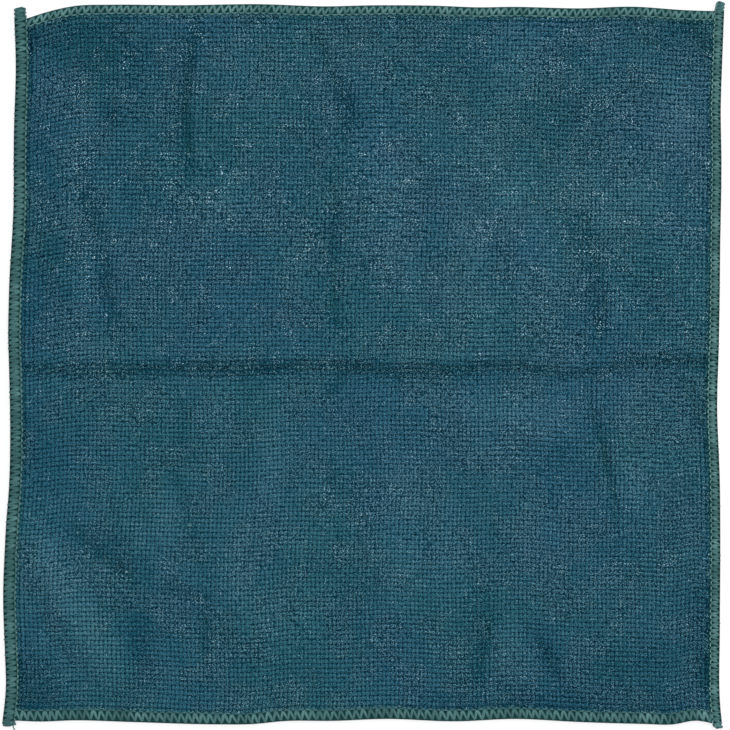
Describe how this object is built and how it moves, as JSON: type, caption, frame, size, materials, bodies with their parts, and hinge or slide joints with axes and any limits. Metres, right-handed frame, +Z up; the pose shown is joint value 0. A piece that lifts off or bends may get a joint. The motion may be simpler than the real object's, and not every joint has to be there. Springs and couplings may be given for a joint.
{
  "type": "microfibre cloth",
  "caption": "Square terry cloth for wiping and drying, lying flat with its packing crease across the middle and its cut edges overlocked.",
  "frame": {"origin": "on the surface the cloth lies on, below the middle of the cloth", "axes": "+Z up out of the pile face, +X to the right and +Y away from a viewer who looks down at the cloth with the packing crease running left to right"},
  "size_m": [0.3035, 0.305, 0.0043],
  "materials": {
    "terry": "deep teal split-fibre terry, low loops, soft and dull with a few bright fibres",
    "overlock_thread": "sea-green textured polyester thread, dull"
  },
  "bodies": {
    "root": {"terry_panel": "terry", "overlock_left": "overlock_thread", "overlock_right": "overlock_thread", "overlock_top": "overlock_thread", "overlock_bottom": "overlock_thread"}
  },
  "joints": []
}
